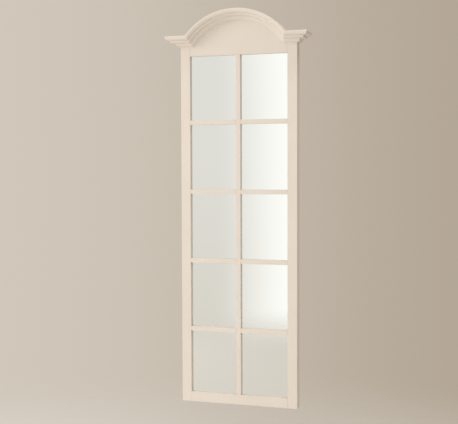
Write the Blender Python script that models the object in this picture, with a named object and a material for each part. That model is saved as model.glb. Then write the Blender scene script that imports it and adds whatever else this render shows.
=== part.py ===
"""A tall window-pane wall mirror with an arched crown, for Blender 4.5. Metres, +Z up.

The mirror faces -Y and the wall is at y = 0, on its +Y side. The origin is on the wall, on the mirror's
centre line, at the height where the wall hooks hold the two raised hanging rings.

Pieces are placed in frame coordinates, which every function below uses: x from the centre line, y from
the back of the stiles (the front is at -FRAME_DEPTH), z from the bottom edge. One empty carries them all
and puts the wall hooks' height at the origin.
"""

import math

import bmesh
import bpy
from mathutils import Vector

# Clearances
GAP = 0.0003  # between pieces that touch
MITRE_GAP = 0.0004
CUT_MARGIN = 0.010  # how far a cutting box reaches past what it cuts
DRILL_LEAD_IN = 0.001  # how far a drill starts outside the hole's mouth

# The frame as a whole
TOTAL_HEIGHT = 1.650
FRAME_WIDTH = 0.506
FRAME_DEPTH = 0.040
MEMBER_WIDTH = 0.041  # of both stiles and the bottom rail, seen from the front
PANE_TOP = 1.466  # lower edge of the header board
EAR_TOP = 1.5475  # top of the crown's two straight ends, and of the stiles

# Steps at the back of each member, from the front: lip, rebate for the glass, ledge for the turn buttons
REVEAL = 0.012
REBATE = 0.009
LEDGE = 0.014

# What lies behind the bars
GLASS_THICKNESS = 0.004
FOAM_THICKNESS = 0.0015
FOAM_WIDTH = 0.008
BACKING_THICKNESS = 0.003
SHEET_CLEARANCE = 0.001
SETTING_BLOCK_HEIGHT = 0.003
SETTING_BLOCK_LENGTH = 0.050

# Glazing bars
BAR_WIDTH = 0.019
CROSS_BARS = 4
LOWEST_BAR = 0.3135  # height of its middle
BAR_PITCH = 0.2915
STUB_LENGTH = 0.006
STUB_HEIGHT = 0.008
STUB_THICKNESS = 0.005

# Crown
CROWN_PROJECTION = 0.052
CROWN_HEIGHT = 0.0435
ARCH_HALF_SPAN = 0.2155  # at the level of the ears' top
ARCH_STEPS = 44
HEADER_SET_DOWN = 0.0030  # from the top of the arch moulding to the header's own arched edge

# Dowels in the corner joints
DOWEL_RADIUS = 0.003
DOWEL_LENGTH = 0.028
DOWEL_SIDES = 12
DOWEL_CHAMFER = 0.0008
HEADER_DOWEL_INSET = 0.016  # from the header's lower edge and from the stiles' top

# Turn buttons and their screws
BUTTON_HEIGHTS = (0.26, 0.76, 1.26)
BUTTON_THICKNESS = 0.0012
BUTTON_TAIL_RADIUS = 0.006
BUTTON_TIP_RADIUS = 0.0042
BUTTON_REACH = 0.018  # from the screw to the centre of the tip
BUTTON_ARC_STEPS = 8
BUTTON_SIDE_STEPS = 5
BUTTON_SCREW_LENGTH = 0.012

# Strap hangers with their rings
HANGER_X = 0.150
PIVOT_Z = 1.538
STRAP_WIDTH = 0.016
STRAP_THICKNESS = 0.0018
STRAP_BOTTOM = 1.488
KNUCKLE_BORE = 0.0020
KNUCKLE_RADIUS = 0.0036
KNUCKLE_SIDES = 16
RING_WIRE_RADIUS = 0.0015
RING_HALF_WIDTH = 0.0125
RING_LENGTH = 0.0230
RING_CORNER_RADIUS = 0.004
RING_SIDES = 10
STRAP_SCREW_HEIGHTS = (1.4955, 1.5085)
STRAP_SCREW_LENGTH = 0.014

# Screws, all of one diameter
SCREW_RADIUS = 0.0018
SCREW_HEAD_RADIUS = 0.0036
SCREW_HEAD_HEIGHT = 0.0018
SCREW_HEAD_RIM = 0.5  # of the head's height, where its edge starts to slope
SCREW_HEAD_TOP = 0.72  # of the head's radius, at its flat top
SCREW_TIP_LENGTH = 0.004
SCREW_SIDES = 12
PILOT_CLEARANCE = 0.0003

# Wall bumpers
BUMPER_RADIUS = 0.0065
BUMPER_THICKNESS = 0.0015
BUMPER_EDGE = 0.0003
BUMPER_HEIGHTS = (0.025, 1.505)
BUMPER_SIDES = 24

EASED_EDGE = 0.0007

# Worked out from the sizes above
HALF_WIDTH = FRAME_WIDTH / 2
LIP_EDGE = HALF_WIDTH - MEMBER_WIDTH
REBATE_EDGE = LIP_EDGE + REBATE
LEDGE_EDGE = REBATE_EDGE + LEDGE
FRONT = -FRAME_DEPTH
LIP_BACK = FRONT + REVEAL
LIP_MIDDLE = (FRONT + LIP_BACK) / 2
STUB_FRONT = LIP_MIDDLE - STUB_THICKNESS / 2
STUB_BACK = LIP_MIDDLE + STUB_THICKNESS / 2
GLASS_FRONT = LIP_BACK + GAP
FOAM_FRONT = GLASS_FRONT + GLASS_THICKNESS + GAP
BACKING_FRONT = FOAM_FRONT + FOAM_THICKNESS + GAP
LEDGE_PLANE = BACKING_FRONT + BACKING_THICKNESS + GAP
SHEET_HALF_WIDTH = REBATE_EDGE - SHEET_CLEARANCE
SHEET_TOP = PANE_TOP + REBATE - SHEET_CLEARANCE
REBATE_BOTTOM = MEMBER_WIDTH - REBATE
LEDGE_BOTTOM = REBATE_BOTTOM - LEDGE
GLASS_BOTTOM = REBATE_BOTTOM + SETTING_BLOCK_HEIGHT + 2 * GAP
ARCH_RISE = TOTAL_HEIGHT - EAR_TOP
ARCH_RADIUS = (ARCH_HALF_SPAN**2 + ARCH_RISE**2) / (2 * ARCH_RISE)
ARCH_CENTRE_Z = TOTAL_HEIGHT - ARCH_RADIUS
HEADER_RADIUS = ARCH_RADIUS - HEADER_SET_DOWN
CROWN_BOTTOM = EAR_TOP - CROWN_HEIGHT
BUTTON_X = (REBATE_EDGE + LEDGE_EDGE) / 2
KNUCKLE_Y = LEDGE_PLANE + GAP + KNUCKLE_RADIUS
HOOK_HEIGHT = PIVOT_Z + RING_LENGTH - RING_WIRE_RADIUS
WALL_Y = GAP + BUMPER_THICKNESS
PILOT_RADIUS = SCREW_RADIUS + PILOT_CLEARANCE
BAR_HEIGHTS = [LOWEST_BAR + BAR_PITCH * number for number in range(CROSS_BARS)]


# ---------------------------------------------------------------- scene and materials


def clear_scene():
    for old in list(bpy.data.objects):
        bpy.data.objects.remove(old)


def make_material(name, color, roughness, metallic=0.0):
    material = bpy.data.materials.new(name)
    material.use_nodes = True
    shader = material.node_tree.nodes["Principled BSDF"]
    shader.inputs["Base Color"].default_value = (*color, 1.0)
    shader.inputs["Roughness"].default_value = roughness
    shader.inputs["Metallic"].default_value = metallic
    return material


def make_materials():
    return {
        "paint": make_material("cream_paint", (0.71, 0.64, 0.56), 0.42),
        "mirror": make_material("silvered_mirror", (0.93, 0.94, 0.93), 0.02, 1.0),
        "backing": make_material("brown_hardboard", (0.30, 0.19, 0.11), 0.75),
        "foam": make_material("black_foam", (0.03, 0.03, 0.03), 0.90),
        "beech": make_material("beech_dowel", (0.62, 0.42, 0.25), 0.60),
        "zinc": make_material("zinc_steel", (0.62, 0.62, 0.60), 0.35, 1.0),
        "rubber": make_material("grey_rubber", (0.10, 0.10, 0.10), 0.80),
        "felt": make_material("grey_felt", (0.42, 0.40, 0.37), 0.95),
    }


def make_carrier():
    """The empty that carries every piece, lowered so that the wall hooks' height is at the origin."""
    carrier = bpy.data.objects.new("mirror_frame_origin", None)
    carrier.location = (0.0, -WALL_Y, -HOOK_HEIGHT)
    bpy.context.scene.collection.objects.link(carrier)
    return carrier


def add_object(name, mesh, material, carrier, location=(0.0, 0.0, 0.0)):
    piece = bpy.data.objects.new(name, mesh)
    piece.location = location
    piece.parent = carrier
    if material is not None and not mesh.materials:
        mesh.materials.append(material)
    bpy.context.scene.collection.objects.link(piece)
    return piece


# ---------------------------------------------------------------- mesh building


def finish_mesh(name, body, smooth_angle=None):
    """The bmesh as a named mesh with its faces pointing out, round stretches shaded smooth."""
    bmesh.ops.recalc_face_normals(body, faces=body.faces)
    mesh = bpy.data.meshes.new(name)
    body.to_mesh(mesh)
    body.free()
    if smooth_angle is not None:
        mesh.shade_smooth()
        mesh.set_sharp_from_angle(angle=math.radians(smooth_angle))
    return mesh


def inside(box, point):
    low, high = box
    return all(low[axis] < point[axis] < high[axis] for axis in range(3))


def blocks_mesh(name, solids, cuts=()):
    """One closed mesh: the union of upright boxes, given as (low, high) corners, less the boxes in cuts."""
    planes = [
        sorted({round(corner[axis], 7) for box in (*solids, *cuts) for corner in box})
        for axis in range(3)
    ]
    cells = set()
    for i in range(len(planes[0]) - 1):
        for j in range(len(planes[1]) - 1):
            for k in range(len(planes[2]) - 1):
                index = (i, j, k)
                middle = [
                    (planes[axis][index[axis]] + planes[axis][index[axis] + 1]) / 2
                    for axis in range(3)
                ]
                if any(inside(box, middle) for box in solids):
                    if not any(inside(box, middle) for box in cuts):
                        cells.add(index)
    body = bmesh.new()
    corners = {}

    def corner(index):
        if index not in corners:
            position = [planes[axis][index[axis]] for axis in range(3)]
            corners[index] = body.verts.new(position)
        return corners[index]

    for cell in cells:
        for axis in range(3):
            for side in (0, 1):
                neighbour = list(cell)
                neighbour[axis] += 2 * side - 1
                if tuple(neighbour) in cells:
                    continue
                across, along = [other for other in range(3) if other != axis]
                ring = []
                for step_across, step_along in ((0, 0), (1, 0), (1, 1), (0, 1)):
                    at = list(cell)
                    at[axis] += side
                    at[across] += step_across
                    at[along] += step_along
                    ring.append(corner(tuple(at)))
                body.faces.new(ring)
    bmesh.ops.recalc_face_normals(body, faces=body.faces)
    bmesh.ops.dissolve_limit(
        body, angle_limit=math.radians(0.5), verts=body.verts, edges=body.edges
    )
    return finish_mesh(name, body)


def lofted_mesh(name, sections, closed=False, smooth_angle=None):
    """A skin over sections of equal point count, capped at both ends unless the loft closes on itself."""
    body = bmesh.new()
    rings = [[body.verts.new(point) for point in section] for section in sections]
    count = len(rings[0])
    pairs = list(zip(rings, rings[1:]))
    if closed:
        pairs.append((rings[-1], rings[0]))
    for first, second in pairs:
        for i in range(count):
            following = (i + 1) % count
            body.faces.new((first[i], first[following], second[following], second[i]))
    if not closed:
        body.faces.new(rings[0])
        body.faces.new(rings[-1])
    return finish_mesh(name, body, smooth_angle)


def arc_points(centre, radius, start, end, steps):
    """Points on a circle in a plane, from the start angle to the end angle, both in degrees."""
    points = []
    for step in range(steps + 1):
        angle = math.radians(start + (end - start) * step / steps)
        points.append((centre[0] + radius * math.cos(angle), centre[1] + radius * math.sin(angle)))
    return points


def elliptic_points(start, end, start_runs_across, steps):
    """A quarter ellipse between two points, without its first point.

    It leaves the start along the first coordinate if start_runs_across, and along the second otherwise.
    """
    points = []
    for step in range(1, steps + 1):
        angle = math.pi / 2 * step / steps
        share, other = math.sin(angle), 1 - math.cos(angle)
        if not start_runs_across:
            share, other = other, share
        points.append(
            (start[0] + (end[0] - start[0]) * share, start[1] + (end[1] - start[1]) * other)
        )
    return points


def turned_mesh(name, profile, sides):
    """A solid turned about Y from (radius, y) pairs that start and end on the axis."""
    body = bmesh.new()
    rings = []
    for radius, y in profile:
        if radius == 0:
            rings.append([body.verts.new((0.0, y, 0.0))])
            continue
        ring = []
        for side in range(sides):
            angle = 2 * math.pi * side / sides
            ring.append(body.verts.new((radius * math.cos(angle), y, radius * math.sin(angle))))
        rings.append(ring)
    for first, second in zip(rings, rings[1:]):
        for side in range(sides):
            following = (side + 1) % sides
            corners = (
                first[side % len(first)],
                first[following % len(first)],
                second[following % len(second)],
                second[side % len(second)],
            )
            body.faces.new(list(dict.fromkeys(corners)))
    return finish_mesh(name, body, 35)


def ease_front_edges(piece):
    """Rounds the edges round the piece's front face by the width of a stroke of sandpaper."""
    mesh = piece.data
    weights = mesh.attributes.new("bevel_weight_edge", "FLOAT", "EDGE")
    for edge in mesh.edges:
        ends = [mesh.vertices[index].co.y for index in edge.vertices]
        on_front = all(abs(y - FRONT) < GAP / 3 for y in ends)
        weights.data[edge.index].value = 1.0 if on_front else 0.0
    easing = piece.modifiers.new("eased_front_edges", "BEVEL")
    easing.width = EASED_EDGE
    easing.segments = 1
    easing.limit_method = "WEIGHT"


def cut_with(piece, cutter_mesh, operation="DIFFERENCE"):
    """Cuts the piece with a hidden mesh given in the same coordinates."""
    cutter = add_object(f"{piece.name}_{operation.lower()}_cutter", cutter_mesh, None, piece.parent)
    cutter.hide_render = True
    cutter.display_type = "WIRE"
    boolean = piece.modifiers.new(operation.lower(), "BOOLEAN")
    boolean.operation = operation
    boolean.solver = "EXACT"
    boolean.object = cutter


def drill(piece, holes, sides):
    """Round holes, each (mouth, inward direction, radius, depth)."""
    body = bmesh.new()
    for mouth, direction, radius, depth in holes:
        inward = Vector(direction)
        placing = inward.to_track_quat("Z", "Y").to_matrix().to_4x4()
        placing.translation = Vector(mouth) + inward * (depth - DRILL_LEAD_IN) / 2
        bmesh.ops.create_cone(
            body,
            cap_ends=True,
            segments=sides,
            radius1=radius,
            radius2=radius,
            depth=depth + DRILL_LEAD_IN,
            matrix=placing,
        )
    cut_with(piece, finish_mesh(f"{piece.name}_holes", body))


# ---------------------------------------------------------------- timber frame


def sided_box(side, inner, outer, y_range, z_range):
    """A box between two distances from the centre line, on the left (-1) or on the right (+1)."""
    near, far = sorted((side * inner, side * outer))
    return (near, y_range[0], z_range[0]), (far, y_range[1], z_range[1])


def centred_box(half_length, y_range, z_range):
    """A box centred on the centre line."""
    return (-half_length, y_range[0], z_range[0]), (half_length, y_range[1], z_range[1])


def socket_depth():
    """The (front, back) of a mortise, a clearance wider than the stub on each side."""
    return STUB_FRONT - GAP, STUB_BACK + GAP


def bar_stub_socket(side, height):
    """The mortise in a stile's lip for one cross bar's stub."""
    half_height = STUB_HEIGHT / 2 + GAP
    z_range = (height - half_height, height + half_height)
    return sided_box(side, LIP_EDGE - GAP, LIP_EDGE + STUB_LENGTH + GAP, socket_depth(), z_range)


def centre_stub_socket(low_z, high_z):
    """The mortise for one end of the upright bar, in the bottom rail or in the header."""
    return centred_box(STUB_HEIGHT / 2 + GAP, socket_depth(), (low_z, high_z))


def dowel_places():
    """(name, x of the joint's plane, y, z) of each dowel on one side."""
    return (
        ("rail_front_dowel", LIP_EDGE, LIP_MIDDLE, MEMBER_WIDTH / 2),
        ("rail_back_dowel", LEDGE_EDGE, LEDGE_PLANE / 2, LEDGE_BOTTOM / 2),
        ("header_lower_dowel", LIP_EDGE, LIP_MIDDLE, PANE_TOP + HEADER_DOWEL_INSET),
        ("header_upper_dowel", LIP_EDGE, LIP_MIDDLE, EAR_TOP - HEADER_DOWEL_INSET),
    )


def dowel_holes(side, into_stile):
    """Holes for the dowels of one side, either in the stile or in the piece that meets it."""
    direction = (side if into_stile else -side, 0.0, 0.0)
    depth = DOWEL_LENGTH / 2 + GAP
    return {
        name: ((side * x, y, z), direction, DOWEL_RADIUS + GAP, depth)
        for name, x, y, z in dowel_places()
    }


def make_stile(name, side, material, carrier):
    """An upright with three steps at its inner back edge."""
    full_height = (0.0, EAR_TOP)
    layers = (
        sided_box(side, LIP_EDGE, HALF_WIDTH, (FRONT, LIP_BACK), full_height),
        sided_box(side, REBATE_EDGE, HALF_WIDTH, (LIP_BACK, LEDGE_PLANE), full_height),
        sided_box(side, LEDGE_EDGE, HALF_WIDTH, (LEDGE_PLANE, 0.0), full_height),
    )
    sockets = [bar_stub_socket(side, height) for height in BAR_HEIGHTS]
    stile = add_object(name, blocks_mesh(name, layers, sockets), material, carrier)
    ease_front_edges(stile)
    holes = list(dowel_holes(side, into_stile=True).values())
    for height in BUTTON_HEIGHTS:
        mouth = (side * BUTTON_X, LEDGE_PLANE, height)
        holes.append((mouth, (0.0, -1.0, 0.0), PILOT_RADIUS, BUTTON_SCREW_LENGTH))
    drill(stile, holes, DOWEL_SIDES)


def make_bottom_rail(material, carrier):
    """The rail between the stiles, with the same steps, its ends shaped to fit the stiles' steps."""
    layers = (
        centred_box(LIP_EDGE - GAP, (FRONT, LIP_BACK), (0.0, MEMBER_WIDTH)),
        centred_box(REBATE_EDGE - GAP, (LIP_BACK + GAP, LEDGE_PLANE), (0.0, REBATE_BOTTOM)),
        centred_box(LEDGE_EDGE - GAP, (LEDGE_PLANE + GAP, 0.0), (0.0, LEDGE_BOTTOM)),
        centred_box(LIP_EDGE - GAP, (FRONT, LEDGE_PLANE), (0.0, REBATE_BOTTOM)),
        centred_box(REBATE_EDGE - GAP, (LIP_BACK + GAP, 0.0), (0.0, LEDGE_BOTTOM)),
    )
    socket = centre_stub_socket(MEMBER_WIDTH - STUB_LENGTH - GAP, MEMBER_WIDTH + GAP)
    rail = add_object("bottom_rail", blocks_mesh("bottom_rail", layers, [socket]), material, carrier)
    ease_front_edges(rail)
    holes = []
    for side in (-1, 1):
        found = dowel_holes(side, into_stile=False)
        holes += [found["rail_front_dowel"], found["rail_back_dowel"]]
    drill(rail, holes, DOWEL_SIDES)


def make_header_board(material, carrier):
    """The board over the panes: square between the stiles, arched above them."""
    above = TOTAL_HEIGHT + CUT_MARGIN
    layers = (
        centred_box(LIP_EDGE - GAP, (FRONT, LIP_BACK + GAP), (PANE_TOP, above)),
        centred_box(LIP_EDGE - GAP, (FRONT, LEDGE_PLANE), (PANE_TOP + REBATE, above)),
        centred_box(REBATE_EDGE - GAP, (LIP_BACK + GAP, LEDGE_PLANE), (PANE_TOP + REBATE, above)),
    )
    lip_trim = centred_box(HALF_WIDTH, (LIP_BACK, LIP_BACK + 2 * GAP), (0.0, PANE_TOP + REBATE))
    socket = centre_stub_socket(PANE_TOP - GAP, PANE_TOP + STUB_LENGTH + GAP)
    mesh = blocks_mesh("header_board", layers, [lip_trim, socket])
    board = add_object("header_board", mesh, material, carrier)
    ease_front_edges(board)
    shoulder = math.acos((EAR_TOP - ARCH_CENTRE_Z) / HEADER_RADIUS)
    start = 90 - math.degrees(shoulder)
    arch = arc_points((0.0, ARCH_CENTRE_Z), HEADER_RADIUS, start, 180 - start, ARCH_STEPS)
    outline = [(HALF_WIDTH, 0.0), (HALF_WIDTH, EAR_TOP), *arch, (-HALF_WIDTH, EAR_TOP), (-HALF_WIDTH, 0.0)]
    front = [(x, FRONT - CUT_MARGIN, z) for x, z in outline]
    back = [(x, LEDGE_PLANE + CUT_MARGIN, z) for x, z in outline]
    cut_with(board, lofted_mesh("header_outline", [front, back]), "INTERSECT")
    holes = []
    for side in (-1, 1):
        found = dowel_holes(side, into_stile=False)
        holes += [found["header_lower_dowel"], found["header_upper_dowel"]]
        for height in STRAP_SCREW_HEIGHTS:
            mouth = (side * HANGER_X, LEDGE_PLANE, height)
            holes.append((mouth, (0.0, -1.0, 0.0), PILOT_RADIUS, STRAP_SCREW_LENGTH))
    drill(board, holes, DOWEL_SIDES)


def make_dowels(material, carrier):
    """Beech pegs, half in each piece of a joint."""
    half = DOWEL_LENGTH / 2 - GAP
    profile = (
        (0.0, -half),
        (DOWEL_RADIUS - DOWEL_CHAMFER, -half),
        (DOWEL_RADIUS, -half + DOWEL_CHAMFER),
        (DOWEL_RADIUS, half - DOWEL_CHAMFER),
        (DOWEL_RADIUS - DOWEL_CHAMFER, half),
        (0.0, half),
    )
    mesh = turned_mesh("dowel", profile, DOWEL_SIDES)
    for side, word in ((-1, "left"), (1, "right")):
        for name, x, y, z in dowel_places():
            dowel = add_object(f"{word}_{name}", mesh, material, carrier, (side * x, y, z))
            dowel.rotation_euler = (0.0, 0.0, math.radians(90))


# ---------------------------------------------------------------- glazing bars


def make_centre_bar(material, carrier):
    """The upright bar, notched from behind at each crossing, with a stub at each end."""
    half = BAR_WIDTH / 2
    stub_z = (MEMBER_WIDTH - STUB_LENGTH, PANE_TOP + STUB_LENGTH)
    solids = (
        centred_box(half, (FRONT, LIP_BACK), (MEMBER_WIDTH + GAP, PANE_TOP - GAP)),
        centred_box(STUB_HEIGHT / 2, (STUB_FRONT, STUB_BACK), stub_z),
    )
    notch_y = (LIP_MIDDLE - GAP / 2, LIP_BACK + CUT_MARGIN)
    notch_half = half + GAP
    notches = [
        centred_box(BAR_WIDTH, notch_y, (height - notch_half, height + notch_half))
        for height in BAR_HEIGHTS
    ]
    bar = add_object("centre_bar", blocks_mesh("centre_bar", solids, notches), material, carrier)
    ease_front_edges(bar)


def make_cross_bars(material, carrier):
    """The level bars, numbered from the bottom, each notched from the front for the upright bar."""
    half = BAR_WIDTH / 2
    stub_z = (-STUB_HEIGHT / 2, STUB_HEIGHT / 2)
    solids = (
        centred_box(LIP_EDGE - GAP, (FRONT, LIP_BACK), (-half, half)),
        centred_box(LIP_EDGE + STUB_LENGTH, (STUB_FRONT, STUB_BACK), stub_z),
    )
    notch_y = (FRONT - CUT_MARGIN, LIP_MIDDLE + GAP / 2)
    notch = centred_box(half + GAP, notch_y, (-BAR_WIDTH, BAR_WIDTH))
    mesh = blocks_mesh("cross_bar", solids, [notch])
    for number, height in enumerate(BAR_HEIGHTS, start=1):
        bar_mesh = mesh if number == 1 else mesh.copy()
        bar = add_object(f"cross_bar_{number}", bar_mesh, material, carrier, (0.0, 0.0, height))
        ease_front_edges(bar)


# ---------------------------------------------------------------- mirror, packing and backing


def make_sheets(materials, carrier):
    """The mirror, the foam strips round its back and the backing board, laid one behind the other."""
    half = SHEET_HALF_WIDTH
    glass_y = (GLASS_FRONT, GLASS_FRONT + GLASS_THICKNESS)
    glass = blocks_mesh("mirror_glass", [centred_box(half, glass_y, (GLASS_BOTTOM, SHEET_TOP))])
    add_object("mirror_glass", glass, materials["mirror"], carrier)
    board_y = (BACKING_FRONT, BACKING_FRONT + BACKING_THICKNESS)
    board_bottom = REBATE_BOTTOM + SHEET_CLEARANCE
    board = blocks_mesh("backing_board", [centred_box(half, board_y, (board_bottom, SHEET_TOP))])
    add_object("backing_board", board, materials["backing"], carrier)
    foam_y = (FOAM_FRONT, FOAM_FRONT + FOAM_THICKNESS)
    upright_z = (GLASS_BOTTOM, SHEET_TOP)
    inner = half - FOAM_WIDTH
    for side, word in ((-1, "left"), (1, "right")):
        name = f"{word}_foam_strip"
        strip = blocks_mesh(name, [sided_box(side, inner, half, foam_y, upright_z)])
        add_object(name, strip, materials["foam"], carrier)
    for word, low in (("bottom", GLASS_BOTTOM), ("top", SHEET_TOP - FOAM_WIDTH)):
        name = f"{word}_foam_strip"
        strip = blocks_mesh(name, [centred_box(inner - GAP, foam_y, (low, low + FOAM_WIDTH))])
        add_object(name, strip, materials["foam"], carrier)


def make_setting_blocks(material, carrier):
    """Two rubber blocks in the bottom rebate that carry the mirror's weight."""
    block_y = (GLASS_FRONT, GLASS_FRONT + GLASS_THICKNESS)
    block_z = (REBATE_BOTTOM + GAP, REBATE_BOTTOM + GAP + SETTING_BLOCK_HEIGHT)
    middle = SHEET_HALF_WIDTH / 2
    reach = SETTING_BLOCK_LENGTH / 2
    for side, word in ((-1, "left"), (1, "right")):
        name = f"{word}_setting_block"
        block = blocks_mesh(name, [sided_box(side, middle - reach, middle + reach, block_y, block_z)])
        add_object(name, block, material, carrier)


# ---------------------------------------------------------------- crown


def crown_profile():
    """(projection, drop) pairs round the crown's section, from the back of its top.

    A fillet on top, a large round under it, a narrow band, a hollow and a small foot that sweeps to the
    board.
    """
    fillet_drop = 0.0050
    round_start = (CROWN_PROJECTION - 0.0005, fillet_drop)
    round_end = (0.0350, 0.0180)
    band_top = (0.0340, 0.0180)
    band_bottom = (0.0330, 0.0255)
    hollow_end = (0.0140, 0.0330)
    foot_top = (0.0130, 0.0330)
    foot_bottom = (0.0120, 0.0385)
    points = [(GAP, 0.0), (CROWN_PROJECTION, 0.0), (CROWN_PROJECTION, fillet_drop), round_start]
    points += elliptic_points(round_start, round_end, start_runs_across=False, steps=7)
    points += [band_top, band_bottom]
    points += elliptic_points(band_bottom, hollow_end, start_runs_across=True, steps=6)
    points += [foot_top, foot_bottom]
    points += elliptic_points(foot_bottom, (0.0015, CROWN_HEIGHT), start_runs_across=True, steps=4)
    points.append((GAP, CROWN_HEIGHT))
    return points


def inner_mitre_x(drop):
    """Where straight and arched mouldings of one drop meet, on the right."""
    lower_radius = ARCH_RADIUS - CROWN_HEIGHT
    lower_x = math.sqrt(lower_radius**2 - (CROWN_BOTTOM - ARCH_CENTRE_Z) ** 2)
    return ARCH_HALF_SPAN + (lower_x - ARCH_HALF_SPAN) * drop / CROWN_HEIGHT


def arch_end_angle(drop):
    """The angle above level at which the arch at this drop meets the right-hand mitre's plane."""
    run = inner_mitre_x(CROWN_HEIGHT) - inner_mitre_x(0.0)
    normal_angle = math.atan2(run, CROWN_HEIGHT)
    distance = math.cos(normal_angle) * ARCH_HALF_SPAN
    distance += math.sin(normal_angle) * (EAR_TOP - ARCH_CENTRE_Z)
    return normal_angle + math.acos((distance - MITRE_GAP / 2) / (ARCH_RADIUS - drop))


def make_arch_moulding(material, carrier):
    """The crown's section swept along the arch, its ends cut on the mitre planes."""
    profile = crown_profile()
    ends = [arch_end_angle(drop) for _, drop in profile]
    sections = []
    for step in range(ARCH_STEPS + 1):
        share = step / ARCH_STEPS
        section = []
        for (projection, drop), end in zip(profile, ends):
            angle = end + (math.pi - 2 * end) * share
            radius = ARCH_RADIUS - drop
            x = radius * math.cos(angle)
            z = ARCH_CENTRE_Z + radius * math.sin(angle)
            section.append((x, FRONT - projection, z))
        sections.append(section)
    mesh = lofted_mesh("arch_moulding", sections, smooth_angle=30)
    add_object("arch_moulding", mesh, material, carrier)


def make_ear(side, word, material, carrier):
    """The short straight length of crown over a stile, and its return to the wall."""
    inner, outer = [], []
    front_corner, wall_end = [], []
    for projection, drop in crown_profile():
        z = EAR_TOP - drop
        y = FRONT - projection
        corner_x = HALF_WIDTH + projection
        inner.append((side * (inner_mitre_x(drop) + MITRE_GAP), y, z))
        outer.append((side * (corner_x - MITRE_GAP / 2), y, z))
        front_corner.append((side * corner_x, y + MITRE_GAP, z))
        wall_end.append((side * corner_x, 0.0, z))
    ear_mesh = lofted_mesh(f"{word}_ear_moulding", [inner, outer], smooth_angle=30)
    add_object(f"{word}_ear_moulding", ear_mesh, material, carrier)
    return_mesh = lofted_mesh(f"{word}_return_moulding", [front_corner, wall_end], smooth_angle=30)
    add_object(f"{word}_return_moulding", return_mesh, material, carrier)


# ---------------------------------------------------------------- hardware on the back


def screw_mesh(name, length, head_seat):
    """A pan-head screw along Y. Its head sits on y = head_seat and its shank runs towards -Y."""
    tip = head_seat - length
    rim = head_seat + SCREW_HEAD_HEIGHT * SCREW_HEAD_RIM
    top = head_seat + SCREW_HEAD_HEIGHT
    profile = (
        (0.0, tip),
        (SCREW_RADIUS, tip + SCREW_TIP_LENGTH),
        (SCREW_RADIUS, head_seat),
        (SCREW_HEAD_RADIUS, head_seat),
        (SCREW_HEAD_RADIUS, rim),
        (SCREW_HEAD_RADIUS * SCREW_HEAD_TOP, top),
        (0.0, top),
    )
    return turned_mesh(name, profile, SCREW_SIDES)


def side_points(start, end):
    """Points along a straight side, closest together near its start."""
    shares = [(step / BUTTON_SIDE_STEPS) ** 1.5 for step in range(1, BUTTON_SIDE_STEPS)]
    return [
        (start[0] + (end[0] - start[0]) * share, start[1] + (end[1] - start[1]) * share)
        for share in shares
    ]


def button_outline():
    """The turn button seen from behind: round about its screw, tapering to a smaller round tip along +X."""
    lean = math.degrees(math.asin((BUTTON_TAIL_RADIUS - BUTTON_TIP_RADIUS) / BUTTON_REACH))
    tail = arc_points((0.0, 0.0), BUTTON_TAIL_RADIUS, 90 - lean, 270 + lean, 2 * BUTTON_ARC_STEPS)
    tip = arc_points((BUTTON_REACH, 0.0), BUTTON_TIP_RADIUS, -90 + lean, 90 - lean, BUTTON_ARC_STEPS)
    lower_side = side_points(tail[-1], tip[0])
    upper_side = side_points(tail[0], tip[-1])[::-1]
    return tail + lower_side + tip + upper_side


def button_mesh():
    """A flat plate with a screw hole at the origin. Hole and outline have points at equal bearings."""
    outline = button_outline()
    rim = []
    for x, z in outline:
        bearing = math.atan2(z, x)
        rim.append((PILOT_RADIUS * math.cos(bearing), PILOT_RADIUS * math.sin(bearing)))
    thickness = BUTTON_THICKNESS
    sections = [
        [(x, 0.0, z) for x, z in outline],
        [(x, thickness, z) for x, z in outline],
        [(x, thickness, z) for x, z in rim],
        [(x, 0.0, z) for x, z in rim],
    ]
    return lofted_mesh("turn_button", sections, closed=True)


def make_turn_buttons(material, carrier):
    """Three on each stile's ledge, each reaching over the backing board from its own screw."""
    plate = button_mesh()
    seat = GAP + BUTTON_THICKNESS + GAP
    screw = screw_mesh("button_screw", BUTTON_SCREW_LENGTH, seat)
    for side, word in ((-1, "left"), (1, "right")):
        for height, level in zip(BUTTON_HEIGHTS, ("lower", "middle", "upper")):
            spot = (side * BUTTON_X, LEDGE_PLANE + GAP, height)
            button = add_object(f"{word}_{level}_turn_button", plate, material, carrier, spot)
            button.rotation_euler = (0.0, 0.0 if side < 0 else math.pi, 0.0)
            screw_spot = (side * BUTTON_X, LEDGE_PLANE, height)
            add_object(f"{word}_{level}_button_screw", screw, material, carrier, screw_spot)


def ring_path():
    """The D ring's centre line in (x, z), from its pivot bar round the bow that hangs below it."""
    corner = RING_CORNER_RADIUS
    half = RING_HALF_WIDTH
    bow_centre = half - RING_LENGTH
    points = arc_points((half - corner, -corner), corner, 90, 0, 3)
    points += arc_points((0.0, bow_centre), half, 0, -180, 14)
    points += arc_points((-half + corner, -corner), corner, 180, 90, 3)
    return points


def ring_mesh():
    """Round wire bent along the ring's path and joined at its ends. The pivot bar lies on the X axis."""
    path = [Vector((x, 0.0, z)) for x, z in ring_path()]
    across = Vector((0.0, 1.0, 0.0))
    sections = []
    for i, point in enumerate(path):
        following = path[(i + 1) % len(path)]
        along = (following - path[i - 1]).normalized()
        outward = along.cross(across)
        section = []
        for side in range(RING_SIDES):
            angle = 2 * math.pi * side / RING_SIDES
            spoke = outward * math.cos(angle) + across * math.sin(angle)
            section.append(point + spoke * RING_WIRE_RADIUS)
        sections.append(section)
    return lofted_mesh("hanging_ring", sections, closed=True, smooth_angle=50)


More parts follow.
